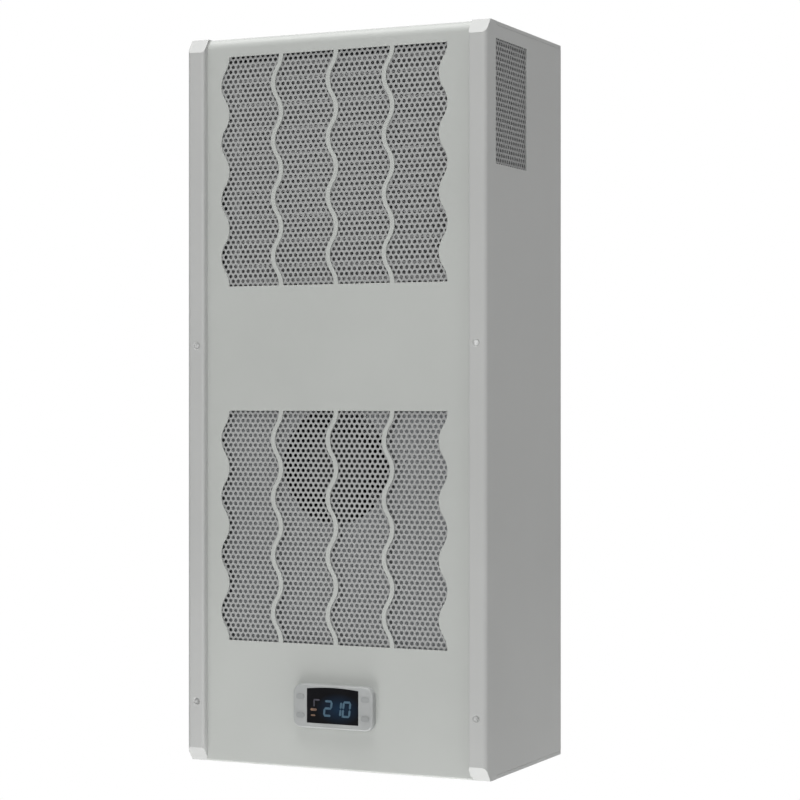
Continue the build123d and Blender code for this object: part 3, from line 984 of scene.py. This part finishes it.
top_cover = cover_sheet("top_cover", 1)
ease_edges(top_cover, COVER_EDGE, 3)
even_shading(top_cover)
dress(top_cover, housing_paint, ["top_cover"])
tray = cover_sheet("bottom_tray", -1)
drain_y = (DRAIN_LOW.y + DRAIN_HIGH.y) / 2
bpy.ops.mesh.primitive_cylinder_add(vertices=48, radius=NECK_R * MM, depth=NECK_CUT * MM,
                                    location=(0, drain_y * MM, -SIDE_HIGH.z * MM))
cut_away(tray, bpy.context.object)
ease_edges(tray, COVER_EDGE, 3)
even_shading(tray)
dress(tray, housing_paint, ["bottom_tray"])

# %% [markdown]
# ## Fins of the condenser coil
#
# Between the flat tubes of a brazed coil runs a thin strip, folded in a zigzag. One fold is a single
# leaning plate. An array lays the folds side by side, and a second array fills the gaps one above the
# other.

# %% Coil fins
COIL_LOW, COIL_HIGH = [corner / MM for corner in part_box("condenser_coil")]
TUBES = 18
TUBE_T = 2.0
FIN_PITCH = 1.5
FIN_T = 0.55
FIN_END_GAP = 0.6
FIN_FACE_GAP = 0.4


def coil_fins():
    """Zigzag fins in every gap of the coil."""
    pitch = (COIL_HIGH.z - COIL_LOW.z) / TUBES
    gap = pitch - TUBE_T
    low_z = COIL_LOW.z + pitch / 2 + TUBE_T / 2
    left = -GRILLE_WIDTH / 2 + FIN_END_GAP
    low = (left, COIL_LOW.y + FIN_FACE_GAP, low_z)
    leaf = add_plate("coil_fins", low, (left, COIL_HIGH.y - FIN_FACE_GAP, low_z + gap), "X")
    pick("VERT", lambda at, vertex: at.z > low_z + gap / 2)
    shift(x=FIN_PITCH / 2)
    pick("EDGE", lambda at, edge: near(at.z, low_z + gap))
    pull(x=FIN_PITCH / 2, z=-gap)
    folds = int((GRILLE_WIDTH - 2 * FIN_END_GAP) / FIN_PITCH)
    repeat(leaf, folds, x=FIN_PITCH, weld=True)
    modify(leaf, "SOLIDIFY", thickness=FIN_T * MM, offset=0)
    repeat(leaf, TUBES - 1, z=pitch)
    return leaf


dress(coil_fins(), fin_metal)

# %% [markdown]
# ## The display
#
# Three digits of seven bars each, leaning a little, in a blue light, with two small orange bars for
# the running lights and two dim ones for signs that are off, whose faint glow is a painted reflection.
# One bar is a flat strip with pointed ends. It is made once for each place where it shows and lies a
# hair in front of the window.

# %% Digits
DIGIT_HEIGHT = 14.4
DIGIT_WIDTH = 8.2
BAR_WIDTH = 1.9
BAR_FRONT = 0.06
BAR_GAP = 0.01
BAR_POINT = 0.46
BAR_TRIM = 0.75
DIGIT_LEAN = math.radians(6)
DIGIT_X = (-4.6, 4.6, 13.4)
DIGIT_Z = -2.4
LIT = {"2": "abged", "1": "bc", "0": "abcdef"}
POINT = 1.4
POINT_X = DIGIT_X[1] + 4.7
POINT_Z = DIGIT_Z - DIGIT_HEIGHT / 2 + 0.8
# A sign's place right of and above the window's middle, its length and width, and whether it stands
RUNNING_LIGHTS = ((-18.5, -4.0, 6.5, 2.2, False), (-19.0, -9.0, 4.5, 1.4, False))
DIM_SIGNS = ((-15.5, 4.6, 6.0, 1.4, False), (-18.0, 1.5, 6.0, 1.2, True))
BARS = {
    "a": (0, 1, 0), "g": (0, 0, 0), "d": (0, -1, 0),
    "f": (-1, 0.5, 1), "b": (1, 0.5, 1), "e": (-1, -0.5, 1), "c": (1, -0.5, 1),
}


def bar(x, z, length, width, upright, lean=0.0):
    """One lit bar: a flat strip whose corners are taken off to a point at both ends."""
    across, along = (width / 2, length / 2) if upright else (length / 2, width / 2)
    piece = add_plate("bar", (-across, 0, -along), (across, 0, along), "Y")
    bpy.ops.mesh.select_all(action="SELECT")
    bpy.ops.mesh.bevel(offset=BAR_POINT * width * MM, affect="VERTICES")
    only(piece)
    piece.rotation_euler = (0, lean, 0)
    piece.location = ((DISPLAY_X + x) * MM, (DISPLAY_Y - BAR_FRONT) * MM, (DISPLAY_Z + z) * MM)
    bpy.ops.object.transform_apply()
    return piece


def lit(name, pieces, light):
    """Joins bars into one piece, gives them a thin body and their light."""
    deselect()
    for piece in pieces:
        piece.select_set(True)
    bpy.context.view_layer.objects.active = pieces[0]
    bpy.ops.object.join()
    pieces[0].name = name
    thicken(pieces[0], BAR_FRONT - BAR_GAP)
    dress(pieces[0], light)


def digit(figure, x):
    """The lit bars of one digit."""
    bars = []
    for letter in LIT[figure]:
        across, up, upright = BARS[letter]
        z = DIGIT_Z + up * (DIGIT_HEIGHT - BAR_WIDTH) / 2
        lean_x = (z - DIGIT_Z) * math.tan(DIGIT_LEAN)
        place = x + across * (DIGIT_WIDTH - BAR_WIDTH) / 2 + lean_x
        length = (DIGIT_HEIGHT / 2 if upright else DIGIT_WIDTH) - BAR_WIDTH * BAR_TRIM
        bars.append(bar(place, z, length, BAR_WIDTH, upright, DIGIT_LEAN if upright else 0))
    return bars


bars = []
for figure, x in zip("210", DIGIT_X):
    bars += digit(figure, x)
bars.append(bar(POINT_X, POINT_Z, POINT, POINT, True))
lit("display_digits", bars, digit_light)
lit("display_icons", [bar(*place) for place in RUNNING_LIGHTS], icon_light)
lit("display_dim_icons", [bar(*place) for place in DIM_SIGNS], unlit_sign_painted_glow)

# %% [markdown]
# ## Finishes of the pieces that keep their CAD mesh
#
# The CAD model already draws some pieces as well as they will be seen: the controller, the fan, the
# tubes of the coil, and the plates, guards and seal at the back. They keep their mesh. A material sits
# on the mesh, so each one's plain material is taken off and its finish put in its place.

# %% Dress the CAD nodes
CARRIED = {
    "controller_bezel": bezel_plastic,
    "controller_keys": key_plastic,
    "controller_window": glass,
    "controller_body": case_plastic,
    "intake_baffle": zinc_with_painted_shade,
    "right_coil_bracket": zinc,
    "left_coil_bracket": zinc,
    "partition": zinc,
    "rear_plate": zinc,
    "return_guard": zinc,
    "supply_guard": zinc,
    "fan_frame": frame_black,
    "fan_rotor": blade_plastic,
    "fan_motor": motor_steel,
    "condenser_coil": coil_metal,
    "rear_gasket": seal_foam,
    "drain_spigot": case_plastic,
}
for node, material in CARRIED.items():
    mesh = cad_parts[node].data
    mesh.materials.clear()
    mesh.materials.append(material)
print(len(CARRIED), "CAD nodes dressed")

# %% [markdown]
# ## Floor, light and camera
#
# The unit hangs on a wall, so the floor lies well below it. The world is white for the camera and for
# reflections, and a soft, even light for everything else. Large soft lamps in front, to the right,
# above and below stand for a photo studio's boxes: the sloped rail ends and the bends catch the upper
# and lower ones. The floor is matt near the unit and fades to the white of the world farther out. It
# can be seen through from below, so that the unit's underside can be looked at too.

# %% Floor
FLOOR_Z = -1000.0
FLOOR_METRES = 40
FADE_METRES = (1.2, 2.2)
WHITE = (1, 1, 1, 1)
deselect()
bpy.ops.mesh.primitive_plane_add(size=FLOOR_METRES, location=(0, 0, FLOOR_Z * MM))
floor = bpy.context.object
floor.name = "floor"
pale = Finish("studio_floor")
camera_ray = pale.node("ShaderNodeLightPath", output="Is Camera Ray")
seen = pale.node("ShaderNodeEmission", {}, {"Color": WHITE, "Strength": 1.0})
matt = pale.node("ShaderNodeBsdfDiffuse", {}, {"Color": (0.8, 0.8, 0.8, 1)})
distance = pale.node("ShaderNodeVectorMath", {"operation": "LENGTH"}, {0: pale.place}, "Value")
away = pale.grade(distance, *FADE_METRES)
top_side = pale.node("ShaderNodeMixShader", {}, {0: away * camera_ray, 1: matt, 2: seen})
underside = pale.node("ShaderNodeNewGeometry", output="Backfacing")
clear = pale.node("ShaderNodeBsdfTransparent")
one_sided = pale.node("ShaderNodeMixShader", {}, {0: underside, 1: top_side, 2: clear})
pale.node("ShaderNodeOutputMaterial", {}, {"Surface": one_sided})
floor.data.materials.append(pale.material)
print("floor at", FLOOR_Z, "mm")

# %% World
WORLD_LIGHT = 0.12


class Surroundings(Finish):
    """The world, whose nodes are made like those of a finish."""

    def __init__(self, name):
        self.world = bpy.data.worlds.new(name)
        self.world.use_nodes = True
        self.tree = self.world.node_tree
        self.tree.nodes.clear()

    def ray(self, kind):
        """One where a light path is of a kind, else zero."""
        return self.node("ShaderNodeLightPath", output=f"Is {kind} Ray")

    def background(self, strength):
        """A white background of some strength."""
        return self.node("ShaderNodeBackground", {}, {"Color": WHITE, "Strength": strength})


studio = Surroundings("studio")
bpy.context.scene.world = studio.world
seen_white = studio.ray("Camera")
for kind in ("Glossy", "Transmission"):
    seen_white = seen_white.maths("MAXIMUM", seen_white, studio.ray(kind))
lights = {0: seen_white, 1: studio.background(WORLD_LIGHT), 2: studio.background(1.0)}
choice = studio.node("ShaderNodeMixShader", {}, lights)
studio.node("ShaderNodeOutputWorld", {}, {"Surface": choice})
print("world light", WORLD_LIGHT)


# %% Lamps
def soft_box(name, place, aim, width, height, power):
    """A large soft lamp that looks at a point."""
    deselect()
    bpy.ops.object.light_add(type="AREA", location=place)
    lamp = bpy.context.object
    lamp.name = name
    lamp.data.shape = "RECTANGLE"
    lamp.data.size = width
    lamp.data.size_y = height
    lamp.data.energy = power
    direction = Vector(aim) - Vector(place)
    lamp.rotation_euler = direction.to_track_quat("-Z", "Y").to_euler()


soft_box("front_box", (0.3, -3.0, 0.5), (0, -0.15, 0.1), 2.0, 2.0, 29.5)
soft_box("right_box", (2.4, -0.9, -0.2), (0, -0.1, -0.1), 1.6, 1.4, 10.4)
soft_box("upper_box", (-0.2, -0.65, 2.3), (0, -0.15, 0.2), 2.6, 1.3, 64)
soft_box("lower_box", (0.1, -0.26, -0.97), (0, -0.15, -0.2), 1.6, 0.4, 10.5)

# %% [markdown]
# The camera stands level with the middle of the unit, far enough away for a long lens, and about 25
# degrees to its right.

# %% Camera
CAMERA_PLACE = (0.8936, -1.9593, 0.0)
CAMERA_LOOK = (-0.4218, 0.9067, 0.0)
CAMERA_LENS = 103.3
bpy.ops.object.camera_add(location=CAMERA_PLACE)
camera = bpy.context.object
camera.rotation_euler = Vector(CAMERA_LOOK).to_track_quat("-Z", "Y").to_euler()
camera.data.lens = CAMERA_LENS
camera.data.sensor_width = 36.0
camera.data.clip_end = 100
scene = bpy.context.scene
scene.camera = camera
scene.view_settings.view_transform = "Standard"
print("camera at", CAMERA_PLACE)

# %% Leave nothing selected
deselect()
